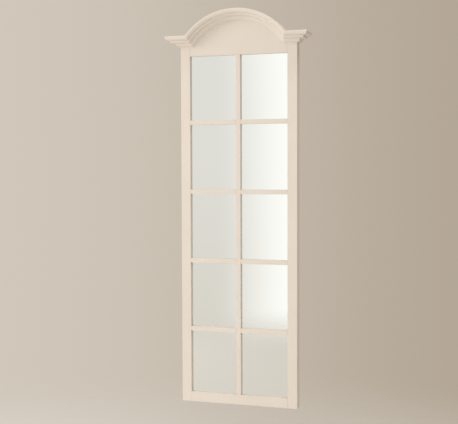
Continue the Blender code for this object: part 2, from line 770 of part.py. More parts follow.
def make_strap(name, x, material, carrier):
    """A flat strap with a round lower end, two screw holes and a knuckle on top for the ring's bar."""
    half = STRAP_WIDTH / 2
    back = LEDGE_PLANE + GAP
    face = back + STRAP_THICKNESS
    foot = arc_points((0.0, STRAP_BOTTOM + half), half, 180, 360, BUTTON_ARC_STEPS)
    outline = [*foot, (half, PIVOT_Z), (-half, PIVOT_Z)]
    near = [(x + across, back, z) for across, z in outline]
    far = [(x + across, face, z) for across, z in outline]
    strap = add_object(name, lofted_mesh(name, [near, far]), material, carrier)
    knuckle = arc_points((KNUCKLE_Y, PIVOT_Z), KNUCKLE_RADIUS, 0, 360, KNUCKLE_SIDES)[:-1]
    left_end = [(x - half, y, z) for y, z in knuckle]
    right_end = [(x + half, y, z) for y, z in knuckle]
    cut_with(strap, lofted_mesh("knuckle", [left_end, right_end]), "UNION")
    bore = ((x - half, KNUCKLE_Y, PIVOT_Z), (1.0, 0.0, 0.0), KNUCKLE_BORE, STRAP_WIDTH + DRILL_LEAD_IN)
    drill(strap, [bore], KNUCKLE_SIDES)
    screw_holes = [
        ((x, face, height), (0.0, -1.0, 0.0), PILOT_RADIUS, STRAP_THICKNESS + GAP / 2)
        for height in STRAP_SCREW_HEIGHTS
    ]
    drill(strap, screw_holes, SCREW_SIDES)


def make_hangers(material, carrier):
    """Two straps on the header's back, each with two screws and a ring that hangs free from its knuckle."""
    ring = ring_mesh()
    seat = GAP + STRAP_THICKNESS + GAP
    screw = screw_mesh("strap_screw", STRAP_SCREW_LENGTH, seat)
    for side, word in ((-1, "left"), (1, "right")):
        x = side * HANGER_X
        make_strap(f"{word}_hanger_strap", x, material, carrier)
        add_object(f"{word}_hanging_ring", ring, material, carrier, (x, KNUCKLE_Y, PIVOT_Z))
        for height, level in zip(STRAP_SCREW_HEIGHTS, ("lower", "upper")):
            spot = (x, LEDGE_PLANE, height)
            add_object(f"{word}_{level}_strap_screw", screw, material, carrier, spot)


def make_bumpers(material, carrier):
    """Felt discs on the stiles' backs, which touch the wall."""
    near, far = GAP, GAP + BUMPER_THICKNESS
    profile = (
        (0.0, near),
        (BUMPER_RADIUS, near),
        (BUMPER_RADIUS, far - BUMPER_EDGE),
        (BUMPER_RADIUS - BUMPER_EDGE, far),
        (0.0, far),
    )
    mesh = turned_mesh("wall_bumper", profile, BUMPER_SIDES)
    x = (LEDGE_EDGE + HALF_WIDTH) / 2
    for side, word in ((-1, "left"), (1, "right")):
        for height, level in zip(BUMPER_HEIGHTS, ("lower", "upper")):
            add_object(f"{word}_{level}_wall_bumper", mesh, material, carrier, (side * x, 0.0, height))


# ---------------------------------------------------------------- the whole mirror


def main():
    clear_scene()
    materials = make_materials()
    carrier = make_carrier()
    paint = materials["paint"]
    make_stile("left_stile", -1, paint, carrier)
    make_stile("right_stile", 1, paint, carrier)
    make_bottom_rail(paint, carrier)
    make_header_board(paint, carrier)
    make_dowels(materials["beech"], carrier)
    make_centre_bar(paint, carrier)
    make_cross_bars(paint, carrier)
    make_sheets(materials, carrier)
    make_setting_blocks(materials["rubber"], carrier)
    make_arch_moulding(paint, carrier)
    make_ear(-1, "left", paint, carrier)
    make_ear(1, "right", paint, carrier)
    make_turn_buttons(materials["zinc"], carrier)
    make_hangers(materials["zinc"], carrier)
    make_bumpers(materials["felt"], carrier)


main()
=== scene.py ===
"""The looks of the window-pane wall mirror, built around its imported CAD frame.

Every size is in metres in the frame's own axes: x to the right, y into the wall, z up from the height of the
wall hooks. Sizes that the frame holds are read from its boxes; the rest are named below.
"""

import itertools
import math

import bmesh
import bpy
from mathutils import Matrix, Vector


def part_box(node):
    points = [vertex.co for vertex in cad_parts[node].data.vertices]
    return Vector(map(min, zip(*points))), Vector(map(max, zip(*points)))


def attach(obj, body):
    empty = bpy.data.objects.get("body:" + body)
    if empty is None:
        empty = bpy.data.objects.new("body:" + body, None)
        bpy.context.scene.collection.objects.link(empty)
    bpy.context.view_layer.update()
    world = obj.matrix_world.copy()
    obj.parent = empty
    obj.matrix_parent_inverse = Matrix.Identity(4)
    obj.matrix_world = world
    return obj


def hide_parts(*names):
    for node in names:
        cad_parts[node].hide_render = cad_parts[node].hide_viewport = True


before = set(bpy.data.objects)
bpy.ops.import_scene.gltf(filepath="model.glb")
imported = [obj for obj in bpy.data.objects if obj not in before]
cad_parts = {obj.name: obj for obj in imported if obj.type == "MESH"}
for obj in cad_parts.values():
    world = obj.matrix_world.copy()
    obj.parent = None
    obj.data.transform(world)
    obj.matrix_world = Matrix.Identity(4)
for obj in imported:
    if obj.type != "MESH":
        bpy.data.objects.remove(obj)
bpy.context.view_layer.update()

# ---------------------------------------------------------------- sizes

GAP = 0.0003  # between pieces that touch
SAME_PLACE = 0.000001  # nearer than this, two points of an outline are one
CUT_MARGIN = 0.001  # how far a cutter runs past what it cuts
TIMBER_CUT_MARGIN = 0.01
WELD_DISTANCE = 0.00001
SHEET_PLAY = 0.001  # round the mirror and the backing in their rebate
GLASS_SEAM = 0.0005  # the width of its ground edges
BOARD_SEAM = 0.0003
HIDDEN_EDGE = 0.0002  # the rounding of the pieces that lie inside
SIDES = ((-1, "left"), (1, "right"))

STILE_LOW, STILE_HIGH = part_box("right_stile")
RAIL_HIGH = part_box("bottom_rail")[1]
GLASS_LOW, GLASS_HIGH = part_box("mirror_glass")
BOARD_LOW, BOARD_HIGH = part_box("backing_board")
HEADER_LOW, HEADER_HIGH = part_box("header_board")
ARCH_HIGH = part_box("arch_moulding")[1]
RETURN_LOW, RETURN_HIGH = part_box("right_return_moulding")
STRAP_LOW, STRAP_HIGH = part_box("right_hanger_strap")
RING_LOW, RING_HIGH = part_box("right_hanging_ring")
BAR_LOW, BAR_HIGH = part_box("cross_bar_1")
CROSS_BARS = sorted(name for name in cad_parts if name.startswith("cross_bar_"))

# The timber's planes
LIP_EDGE = STILE_LOW.x
HALF_WIDTH = STILE_HIGH.x
FRONT = STILE_LOW.y
BACK = STILE_HIGH.y
BOTTOM = STILE_LOW.z
EAR_TOP = STILE_HIGH.z
LIP_BACK = GLASS_LOW.y - GAP
LEDGE_PLANE = BOARD_HIGH.y + GAP
LEDGE_EDGE = RAIL_HIGH.x + GAP
REBATE_EDGE = GLASS_HIGH.x + SHEET_PLAY
RAIL_TOP = RAIL_HIGH.z
REBATE_BOTTOM = BOARD_LOW.z - SHEET_PLAY
LEDGE_BOTTOM = REBATE_BOTTOM - (LEDGE_EDGE - REBATE_EDGE)
PANE_TOP = HEADER_LOW.z
REBATE_TOP = PANE_TOP + REBATE_EDGE - LIP_EDGE
LIP_MIDDLE = (FRONT + LIP_BACK) / 2
BAR_HALF = (BAR_HIGH.z - BAR_LOW.z) / 2
STUB_LENGTH = BAR_HIGH.x - LIP_EDGE
STUB_HALF_HEIGHT = 0.004
STUB_HALF_THICKNESS = 0.0025
ARRIS = 0.0007  # how far the paint rounds each long edge
END_ARRIS = 0.4  # the share of that left at a joint

# The crown
MITRE_GAP = 0.00005  # the paint fills the mitres
CROWN_HEIGHT = RETURN_HIGH.z - RETURN_LOW.z
CROWN_PROJECTION = RETURN_HIGH.x - HALF_WIDTH
CROWN_BOTTOM = EAR_TOP - CROWN_HEIGHT
ARCH_HALF_SPAN = 0.2155  # at the level of the ears' top
ARCH_RISE = ARCH_HIGH.z - EAR_TOP
ARCH_RADIUS = (ARCH_HALF_SPAN**2 + ARCH_RISE**2) / (2 * ARCH_RISE)
ARCH_CENTRE_Z = ARCH_HIGH.z - ARCH_RADIUS
ARCH_STEPS = 120
HEADER_RADIUS = HEADER_HIGH.z - ARCH_CENTRE_Z
CROWN_ARRIS = 0.0022

# Hardware
BUTTON_TAIL_RADIUS = 0.006
BUTTON_TIP_RADIUS = 0.0042
BUTTON_REACH = 0.018
SCREW_HOLE_RADIUS = 0.0021
SCREW_CREST_RADIUS = 0.0018
SCREW_CORE_RADIUS = 0.0013
SCREW_HEAD_RADIUS = 0.0036
SCREW_HEAD_HEIGHT = 0.0018
SCREW_PITCH = 0.0013
SCREW_TIP_LENGTH = 0.004
SCREW_HEAD_EDGE = 0.0002  # the bevel under the head
SCREW_RIM_HEIGHT = 0.0006  # of the head, under its dome
DOME_FLAT = 0.45  # the share of the head's radius that its dome keeps at the top
DOME_STEPS = 7
THREAD_SHARE = 0.45  # of the pitch that the ridge takes
RINGS_PER_PITCH = 7
SCREW_SIDES = 24
SCREW_TURNS = (17, 57, 97)  # degrees, as the driver left them
RECESS_HALF_LENGTH = 0.0021
RECESS_HALF_WIDTH = 0.00042
RECESS_DEPTH = 0.0011
RECESS_OVERRUN = 0.0003  # above the head, where the cutter starts
RECESS_MOUTH = 1.15  # the cross's size there
RECESS_FLOOR = 0.45  # and at its floor
KNUCKLE_BORE = 0.0020
KNUCKLE_RADIUS = 0.0036
STRAP_THICKNESS = 0.0018
LEAF_BEND_DROP = 0.003  # from the knuckle's centre to where the leaf's face starts
STAMPED_EDGE = 0.00025  # the rounding of the buttons' and the straps' edges
WIRE_RADIUS = 0.0015
WIRE_SIDES = 20
RING_CORNER_RADIUS = 0.004
BUMPER_EDGE = 0.0005
BUMPER_SIDES = 64


# ---------------------------------------------------------------- mesh building


def add_piece(node, mesh, materials, body="frame", place=(0.0, 0.0, 0.0), turn=0.0):
    """A new piece that stands for a CAD node, turned in degrees about the Y axis through its place."""
    piece = bpy.data.objects.new(f"{node}_finished", mesh)
    piece.location = place
    piece.rotation_euler = (0.0, math.radians(turn), 0.0)
    bpy.context.scene.collection.objects.link(piece)
    if not mesh.materials:
        for material in materials:
            mesh.materials.append(material)
    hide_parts(node)
    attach(piece, body)
    return piece


def mesh_from(name, body):
    """The bmesh as a mesh whose faces point out."""
    bmesh.ops.recalc_face_normals(body, faces=body.faces)
    mesh = bpy.data.meshes.new(name)
    body.to_mesh(mesh)
    body.free()
    return mesh


def smooth(mesh, angle=35):
    mesh.shade_smooth()
    mesh.set_sharp_from_angle(angle=math.radians(angle))
    return mesh


def inside(box, point):
    low, high = box
    return all(low[axis] < point[axis] < high[axis] for axis in range(3))


def filled_cells(planes, solids, cuts):
    """The grid's cells, as (i, j, k), whose middles lie in one of the solids and in none of the cuts."""
    cells = set()
    for index in itertools.product(*(range(len(levels) - 1) for levels in planes)):
        middle = [(levels[at] + levels[at + 1]) / 2 for levels, at in zip(planes, index)]
        in_solid = any(inside(box, middle) for box in solids)
        if in_solid and not any(inside(box, middle) for box in cuts):
            cells.add(index)
    return cells


def open_sides(cells):
    """The four corners, as (i, j, k), of each side of a filled cell that has no filled cell beyond it."""
    for cell, axis, side in itertools.product(sorted(cells), range(3), (0, 1)):
        neighbour = list(cell)
        neighbour[axis] += 2 * side - 1
        if tuple(neighbour) in cells:
            continue
        across, along = [other for other in range(3) if other != axis]
        corners = []
        for step_across, step_along in ((0, 0), (1, 0), (1, 1), (0, 1)):
            corner = list(cell)
            corner[axis] += side
            corner[across] += step_across
            corner[along] += step_along
            corners.append(tuple(corner))
        yield corners


def blocks_mesh(name, solids, cuts=()):
    """One closed mesh: the union of upright boxes, given as (low, high) corners, less the boxes in cuts."""
    planes = [
        sorted({round(corner[axis], 6) for box in (*solids, *cuts) for corner in box})
        for axis in range(3)
    ]
    body = bmesh.new()
    made = {}
    for corners in open_sides(filled_cells(planes, solids, cuts)):
        for index in corners:
            if index not in made:
                made[index] = body.verts.new([levels[at] for levels, at in zip(planes, index)])
        body.faces.new([made[index] for index in corners])
    bmesh.ops.recalc_face_normals(body, faces=body.faces)
    bmesh.ops.dissolve_limit(body, angle_limit=math.radians(0.5), verts=body.verts, edges=body.edges)
    return mesh_from(name, body)


def sided_box(side, inner, outer, y_range, z_range):
    """A box between two distances from the centre line, on the left (-1) or on the right (+1)."""
    near, far = sorted((side * inner, side * outer))
    return (near, y_range[0], z_range[0]), (far, y_range[1], z_range[1])


def centred_box(half_length, y_range, z_range):
    return (-half_length, y_range[0], z_range[0]), (half_length, y_range[1], z_range[1])


def lofted_mesh(name, sections, closed=False):
    """A skin over sections of equal point count; the ends are capped unless the loft closes on itself."""
    body = bmesh.new()
    rings = [[body.verts.new(point) for point in section] for section in sections]
    pairs = list(zip(rings, rings[1:]))
    if closed:
        pairs.append((rings[-1], rings[0]))
    count = len(rings[0])
    for first, second in pairs:
        for i in range(count):
            following = (i + 1) % count
            body.faces.new((first[i], first[following], second[following], second[i]))
    if not closed:
        body.faces.new(rings[0])
        body.faces.new(rings[-1])
    return mesh_from(name, body)


def arc_points(centre, radius, start, end, steps):
    """Points on a circle in a plane, from the start angle to the end angle, both in degrees."""
    points = []
    for step in range(steps + 1):
        angle = math.radians(start + (end - start) * step / steps)
        points.append((centre[0] + radius * math.cos(angle), centre[1] + radius * math.sin(angle)))
    return points


def quarter_ellipse(start, end, start_runs_across, steps):
    """A quarter ellipse between two points, without its first point."""
    points = []
    for step in range(1, steps + 1):
        angle = math.pi / 2 * step / steps
        share, other = math.sin(angle), 1 - math.cos(angle)
        if not start_runs_across:
            share, other = other, share
        points.append((start[0] + (end[0] - start[0]) * share, start[1] + (end[1] - start[1]) * other))
    return points


def softened(points, radius, sharpest=30, steps=3):
    """A closed outline with each corner sharper than that many degrees turned into a small curve."""
    result = []
    for before, at, after in zip([points[-1], *points], points, [*points[1:], points[0]]):
        corner, towards, onward = Vector(at), Vector(before), Vector(after)
        arriving, leaving = corner - towards, onward - corner
        if arriving.angle(leaving) < math.radians(sharpest):
            result.append(at)
            continue
        reach = min(radius, arriving.length / 2, leaving.length / 2)
        start = corner - arriving.normalized() * reach
        end = corner + leaving.normalized() * reach
        for step in range(steps + 1):
            share = step / steps
            point = start * (1 - share) ** 2 + corner * 2 * share * (1 - share) + end * share**2
            result.append(tuple(point))
    return without_repeats(result)


def turned_ring(radii, y):
    """Points round the Y axis at equal angles, one for each radius."""
    points = []
    for index, radius in enumerate(radii):
        angle = 2 * math.pi * index / len(radii)
        points.append((radius * math.cos(angle), y, radius * math.sin(angle)))
    return points


def without_repeats(points):
    """A closed outline less each point that lies on the one before it."""
    kept = [points[-1]]
    for point in points:
        if math.dist(point, kept[-1]) > SAME_PLACE:
            kept.append(point)
    return kept[1:]


def rounding(piece, width, segments=3, angle=30):
    """Rounds every edge sharper than the angle, and keeps the flat faces flat."""
    bevel = piece.modifiers.new("rounded_edges", "BEVEL")
    bevel.width = width
    bevel.segments = segments
    bevel.limit_method = "ANGLE"
    bevel.angle_limit = math.radians(angle)
    even = piece.modifiers.new("even_normals", "WEIGHTED_NORMAL")
    even.keep_sharp = True


def ease_timber(piece, length_axis):
    """Rounds a timber's long edges, and less so the edges where its ends meet another piece."""
    mesh = piece.data
    body = bmesh.new()
    body.from_mesh(mesh)
    body.edges.ensure_lookup_table()
    weights = []
    for edge in body.edges:
        sharp = len(edge.link_faces) == 2 and edge.is_convex
        sharp = sharp and edge.calc_face_angle() > math.radians(30)
        at_end = any(abs(face.normal[length_axis]) > 0.9 for face in edge.link_faces)
        weights.append((END_ARRIS if at_end else 1.0) if sharp else 0.0)
    body.free()
    mesh.attributes.new("bevel_weight_edge", "FLOAT", "EDGE").data.foreach_set("value", weights)
    bevel = piece.modifiers.new("eased_arrises", "BEVEL")
    bevel.width = ARRIS
    bevel.segments = 4
    bevel.limit_method = "WEIGHT"
    even = piece.modifiers.new("even_normals", "WEIGHTED_NORMAL")
    even.keep_sharp = True
    mesh.shade_smooth()


def carved(mesh, cutter_mesh, operation):
    """The mesh after a Boolean with another, as a new mesh."""
    solid = bpy.data.objects.new("solid", mesh)
    cutter = bpy.data.objects.new("cutter", cutter_mesh)
    for temporary in (solid, cutter):
        bpy.context.scene.collection.objects.link(temporary)
    boolean = solid.modifiers.new("carve", "BOOLEAN")
    boolean.operation = operation
    boolean.solver = "EXACT"
    boolean.object = cutter
    evaluated = solid.evaluated_get(bpy.context.evaluated_depsgraph_get())
    result = bpy.data.meshes.new_from_object(evaluated)
    for temporary in (solid, cutter):
        bpy.data.objects.remove(temporary)
    return result


# ---------------------------------------------------------------- materials


class Shading:
    """A Principled material, with short calls to add nodes and to join them."""

    def __init__(self, name, color, roughness, metallic=0.0):
        self.material = bpy.data.materials.new(name)
        self.material.use_nodes = True
        self.tree = self.material.node_tree
        self.shader = self.tree.nodes["Principled BSDF"]
        self.shader.inputs["Base Color"].default_value = (*color, 1.0)
        self.shader.inputs["Roughness"].default_value = roughness
        self.shader.inputs["Metallic"].default_value = metallic

    def add(self, kind, values=None, **settings):
        node = self.tree.nodes.new(kind)
        for key, value in settings.items():
            setattr(node, key, value)
        for key, value in (values or {}).items():
            node.inputs[key].default_value = value
        return node

    def join(self, output, socket):
        self.tree.links.new(output, socket)

    def place(self, stretch=(1.0, 1.0, 1.0)):
        """The object's own coordinates, stretched."""
        coordinates = self.add("ShaderNodeTexCoord")
        mapping = self.add("ShaderNodeMapping", {"Scale": stretch})
        self.join(coordinates.outputs["Object"], mapping.inputs["Vector"])
        return mapping.outputs["Vector"]

    def noise(self, vector, scale, detail=3.0, roughness=0.5):
        node = self.add("ShaderNodeTexNoise", {"Scale": scale, "Detail": detail, "Roughness": roughness})
        self.join(vector, node.inputs["Vector"])
        return node.outputs["Fac"]

    def ramp(self, value, stops):
        """A colour ramp through (position, colour) stops."""
        node = self.add("ShaderNodeValToRGB")
        elements = node.color_ramp.elements
        while len(elements) < len(stops):
            elements.new(0.5)
        for element, (position, color) in zip(elements, stops):
            element.position = position
            element.color = (*color, 1.0)
        self.join(value, node.inputs["Fac"])
        return node.outputs["Color"]

    def spread(self, value, low, high):
        """The value's middle stretch mapped on to a range."""
        node = self.add("ShaderNodeMapRange", {1: 0.3, 2: 0.7, 3: low, 4: high})
        self.join(value, node.inputs["Value"])
        return node.outputs["Result"]

    def bump(self, height, distance, strength, below=None):
        node = self.add("ShaderNodeBump", {"Distance": distance, "Strength": strength})
        self.join(height, node.inputs["Height"])
        if below is not None:
            self.join(below, node.inputs["Normal"])
        return node.outputs["Normal"]

    def set_color(self, output):
        self.join(output, self.shader.inputs["Base Color"])

    def set_roughness(self, output):
        self.join(output, self.shader.inputs["Roughness"])

    def set_normal(self, output):
        self.join(output, self.shader.inputs["Normal"])


CREAM = (0.712, 0.637, 0.562)
CREAM_WARM = (0.702, 0.623, 0.546)
CREAM_PALE = (0.722, 0.651, 0.578)


def paint_material(name, stretch):
    """Satin cream paint, brushed out in the direction in which the stretch is smallest."""
    look = Shading(name, CREAM, 0.42)
    even = look.place()
    brushed = look.place(stretch)
    cloudy = look.noise(even, 7.0, 4.0)
    look.set_color(look.ramp(cloudy, ((0.30, CREAM_WARM), (0.52, CREAM), (0.75, CREAM_PALE))))
    look.set_roughness(look.spread(look.noise(brushed, 240.0, 3.0), 0.37, 0.48))
    grain = look.bump(look.noise(brushed, 420.0, 3.0, 0.6), 0.0004, 0.16)
    strokes = look.bump(look.noise(brushed, 1500.0, 2.0), 0.0002, 0.14, below=grain)
    look.set_normal(look.bump(look.noise(even, 900.0, 1.0), 0.0001, 0.10, below=strokes))
    return look.material


def silver_material():
    look = Shading("silvered_face", (0.925, 0.935, 0.925), 0.012, metallic=1.0)
    haze = look.noise(look.place(), 9.0, 3.0)
    look.set_roughness(look.spread(haze, 0.008, 0.016))
    return look.material


def glass_edge_material():
    look = Shading("seamed_glass_edge", (0.32, 0.46, 0.41), 0.28)
    grind = look.noise(look.place(), 1800.0, 2.0)
    look.set_roughness(look.spread(grind, 0.20, 0.38))
    look.set_normal(look.bump(grind, 0.0001, 0.25))
    return look.material


def mirror_back_material():
    look = Shading("mirror_back_paint", (0.20, 0.22, 0.23), 0.55)
    cloudy = look.noise(look.place(), 40.0, 4.0)
    look.set_color(look.ramp(cloudy, ((0.3, (0.18, 0.20, 0.21)), (0.7, (0.23, 0.25, 0.26)))))
    look.set_normal(look.bump(look.noise(look.place(), 900.0), 0.0001, 0.2))
    return look.material


def hardboard_material():
    """Smooth face of pressed fibre board: fine matted fibres, mottled brown."""
    look = Shading("brown_hardboard", (0.30, 0.19, 0.11), 0.62)
    place = look.place()
    fibres = look.noise(look.place((1.0, 1.0, 0.35)), 520.0, 6.0, 0.72)
    mottle = look.noise(place, 34.0, 5.0, 0.6)
    stops = ((0.28, (0.276, 0.171, 0.097)), (0.50, (0.300, 0.188, 0.108)), (0.74, (0.322, 0.206, 0.120)))
    color = look.ramp(mottle, stops)
    specks = look.ramp(fibres, ((0.36, (0.62, 0.58, 0.54)), (0.60, (1.0, 1.0, 1.0))))
    mixed = look.add("ShaderNodeMix", data_type="RGBA", blend_type="MULTIPLY")
    mixed.inputs["Factor"].default_value = 0.75
    look.join(color, mixed.inputs["A"])
    look.join(specks, mixed.inputs["B"])
    look.set_color(mixed.outputs["Result"])
    look.set_roughness(look.spread(fibres, 0.50, 0.72))
    look.set_normal(look.bump(fibres, 0.0003, 0.35))
    return look.material


def foam_material():
    look = Shading("black_foam", (0.03, 0.03, 0.03), 0.92)
    cells = look.add("ShaderNodeTexVoronoi", {"Scale": 1600.0})
    look.join(look.place(), cells.inputs["Vector"])
    shade = look.ramp(cells.outputs["Distance"], ((0.1, (0.018, 0.018, 0.018)), (0.7, (0.045, 0.045, 0.045))))
    look.set_color(shade)
    look.set_normal(look.bump(cells.outputs["Distance"], 0.0003, 0.6))
    return look.material


def rubber_material():
    look = Shading("grey_rubber", (0.10, 0.10, 0.10), 0.78)
    grain = look.noise(look.place(), 1300.0, 3.0)
    look.set_color(look.ramp(grain, ((0.3, (0.085, 0.085, 0.085)), (0.7, (0.12, 0.12, 0.12)))))
    look.set_normal(look.bump(grain, 0.0001, 0.3))
    return look.material


def beech_material():
    """Raw beech, its grain along the dowel and full of short dark flecks."""
    look = Shading("beech_dowel", (0.62, 0.42, 0.25), 0.60)
    along = look.place((0.08, 1.0, 1.0))
    grain = look.noise(along, 900.0, 4.0, 0.6)
    stops = ((0.30, (0.50, 0.31, 0.17)), (0.48, (0.62, 0.42, 0.25)), (0.72, (0.70, 0.50, 0.32)))
    look.set_color(look.ramp(grain, stops))
    look.set_normal(look.bump(grain, 0.0002, 0.3))
    return look.material


def zinc_material():
    """Bright zinc plate with the faint mottle and the bluish cast that the bath leaves."""
    look = Shading("zinc_steel", (0.62, 0.62, 0.60), 0.33, metallic=1.0)
    place = look.place()
    mottle = look.noise(place, 260.0, 4.0, 0.6)
    stops = ((0.30, (0.63, 0.635, 0.63)), (0.50, (0.67, 0.67, 0.655)), (0.72, (0.71, 0.705, 0.685)))
    look.set_color(look.ramp(mottle, stops))
    look.set_roughness(look.spread(look.noise(place, 900.0, 3.0), 0.26, 0.35))
    look.set_normal(look.bump(look.noise(place, 1800.0, 2.0), 0.00008, 0.25))
    return look.material


def felt_material():
    """Grey pressed felt: matted fibres and a soft nap at grazing angles."""
    look = Shading("grey_felt", (0.42, 0.40, 0.37), 0.96)
    place = look.place()
    fibres = look.noise(place, 2200.0, 5.0, 0.7)
    look.set_color(look.ramp(fibres, ((0.32, (0.33, 0.31, 0.285)), (0.70, (0.50, 0.48, 0.45)))))
    look.shader.inputs["Sheen Weight"].default_value = 0.5
    look.shader.inputs["Sheen Roughness"].default_value = 0.6
    look.set_normal(look.bump(fibres, 0.0004, 0.7))
    return look.material


upright_paint = paint_material("cream_paint_upright", (1.0, 1.0, 0.035))
level_paint = paint_material("cream_paint_level", (0.035, 1.0, 1.0))
return_paint = paint_material("cream_paint_return", (1.0, 0.035, 1.0))
silver = silver_material()
glass_edge = glass_edge_material()
mirror_back = mirror_back_material()
hardboard = hardboard_material()
foam = foam_material()
rubber = rubber_material()
beech = beech_material()
zinc = zinc_material()
felt = felt_material()


# ---------------------------------------------------------------- timber frame


def stub_depth(clearance):
    """The (front, back) of a bar's stub, or of its mortise with a clearance."""
    half = STUB_HALF_THICKNESS + clearance
    return LIP_MIDDLE - half, LIP_MIDDLE + half


def bar_heights():
    return [sum(corner.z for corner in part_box(name)) / 2 for name in CROSS_BARS]


def make_stiles():
    """Two uprights, stepped inside at the back for the mirror and for the turn buttons."""
    z_range = (BOTTOM, EAR_TOP)
    half_height = STUB_HALF_HEIGHT + GAP
    for side, word in SIDES:
        layers = (
            sided_box(side, LIP_EDGE, HALF_WIDTH, (FRONT, LIP_BACK), z_range),
            sided_box(side, REBATE_EDGE, HALF_WIDTH, (LIP_BACK, LEDGE_PLANE), z_range),
            sided_box(side, LEDGE_EDGE, HALF_WIDTH, (LEDGE_PLANE, BACK), z_range),
        )
        mortises = [
            sided_box(
                side,
                LIP_EDGE - GAP,
                LIP_EDGE + STUB_LENGTH + GAP,
                stub_depth(GAP),
                (height - half_height, height + half_height),
            )
            for height in bar_heights()
        ]
        name = f"{word}_stile"
        stile = add_piece(name, blocks_mesh(name, layers, mortises), [upright_paint])
        ease_timber(stile, 2)


def make_bottom_rail():
    """The rail between the stiles, with the same steps."""
    layers = (
        centred_box(LIP_EDGE - GAP, (FRONT, LIP_BACK), (BOTTOM, RAIL_TOP)),
        centred_box(REBATE_EDGE - GAP, (LIP_BACK + GAP, LEDGE_PLANE), (BOTTOM, REBATE_BOTTOM)),
        centred_box(LEDGE_EDGE - GAP, (LEDGE_PLANE + GAP, BACK), (BOTTOM, LEDGE_BOTTOM)),
        centred_box(LIP_EDGE - GAP, (FRONT, LEDGE_PLANE), (BOTTOM, REBATE_BOTTOM)),
        centred_box(REBATE_EDGE - GAP, (LIP_BACK + GAP, BACK), (BOTTOM, LEDGE_BOTTOM)),
    )
    mortise_z = (RAIL_TOP - STUB_LENGTH - GAP, RAIL_TOP + GAP)
    mortise = centred_box(STUB_HALF_HEIGHT + GAP, stub_depth(GAP), mortise_z)
    mesh = blocks_mesh("bottom_rail", layers, [mortise])
    ease_timber(add_piece("bottom_rail", mesh, [level_paint]), 0)


def make_header():
    """The board over the panes, its upper edge an arch that follows the crown."""
    above = ARCH_HIGH.z + TIMBER_CUT_MARGIN
    layers = (
        centred_box(LIP_EDGE - GAP, (FRONT, LIP_BACK + GAP), (PANE_TOP, above)),
        centred_box(LIP_EDGE - GAP, (FRONT, LEDGE_PLANE), (REBATE_TOP, above)),
        centred_box(REBATE_EDGE - GAP, (LIP_BACK + GAP, LEDGE_PLANE), (REBATE_TOP, above)),
    )
    lip_trim = centred_box(HALF_WIDTH, (LIP_BACK, LIP_BACK + 2 * GAP), (BOTTOM, REBATE_TOP))
    mortise_z = (PANE_TOP - GAP, PANE_TOP + STUB_LENGTH + GAP)
    mortise = centred_box(STUB_HALF_HEIGHT + GAP, stub_depth(GAP), mortise_z)
    board = blocks_mesh("header_board", layers, [lip_trim, mortise])
    start = math.degrees(math.asin((EAR_TOP - ARCH_CENTRE_Z) / HEADER_RADIUS))
    arch = arc_points((0.0, ARCH_CENTRE_Z), HEADER_RADIUS, start, 180 - start, ARCH_STEPS)
    outline = [(HALF_WIDTH, BOTTOM), (HALF_WIDTH, EAR_TOP), *arch]
    outline += [(-HALF_WIDTH, EAR_TOP), (-HALF_WIDTH, BOTTOM)]
    near = [(x, FRONT - TIMBER_CUT_MARGIN, z) for x, z in outline]
    far = [(x, LEDGE_PLANE + TIMBER_CUT_MARGIN, z) for x, z in outline]
    mesh = carved(board, lofted_mesh("header_outline", [near, far]), "INTERSECT")
    ease_timber(add_piece("header_board", mesh, [level_paint]), 0)


def make_centre_bar():
    """The upright glazing bar, halved from behind over each level bar."""
    solids = (
        centred_box(BAR_HALF, (FRONT, LIP_BACK), (RAIL_TOP + GAP, PANE_TOP - GAP)),
        centred_box(STUB_HALF_HEIGHT, stub_depth(0), (RAIL_TOP - STUB_LENGTH, PANE_TOP + STUB_LENGTH)),
    )
    notch_y = (LIP_MIDDLE - GAP / 2, LIP_BACK + TIMBER_CUT_MARGIN)
    reach = BAR_HALF + GAP
    notches = [centred_box(2 * BAR_HALF, notch_y, (z - reach, z + reach)) for z in bar_heights()]
    mesh = blocks_mesh("centre_bar", solids, notches)
    ease_timber(add_piece("centre_bar", mesh, [upright_paint]), 2)


def make_cross_bars():
    """The level glazing bars, each halved from the front where the upright one crosses."""
    notch_y = (FRONT - TIMBER_CUT_MARGIN, LIP_MIDDLE + GAP / 2)
    for name, height in zip(CROSS_BARS, bar_heights()):
        solids = (
            centred_box(LIP_EDGE - GAP, (FRONT, LIP_BACK), (height - BAR_HALF, height + BAR_HALF)),
            centred_box(
                LIP_EDGE + STUB_LENGTH,
                stub_depth(0),
                (height - STUB_HALF_HEIGHT, height + STUB_HALF_HEIGHT),
            ),
        )
        notch = centred_box(BAR_HALF + GAP, notch_y, (height - 2 * BAR_HALF, height + 2 * BAR_HALF))
        mesh = blocks_mesh(name, solids, [notch])
        ease_timber(add_piece(name, mesh, [level_paint]), 0)


make_stiles()
make_bottom_rail()
make_header()
make_centre_bar()
make_cross_bars()


# ---------------------------------------------------------------- crown


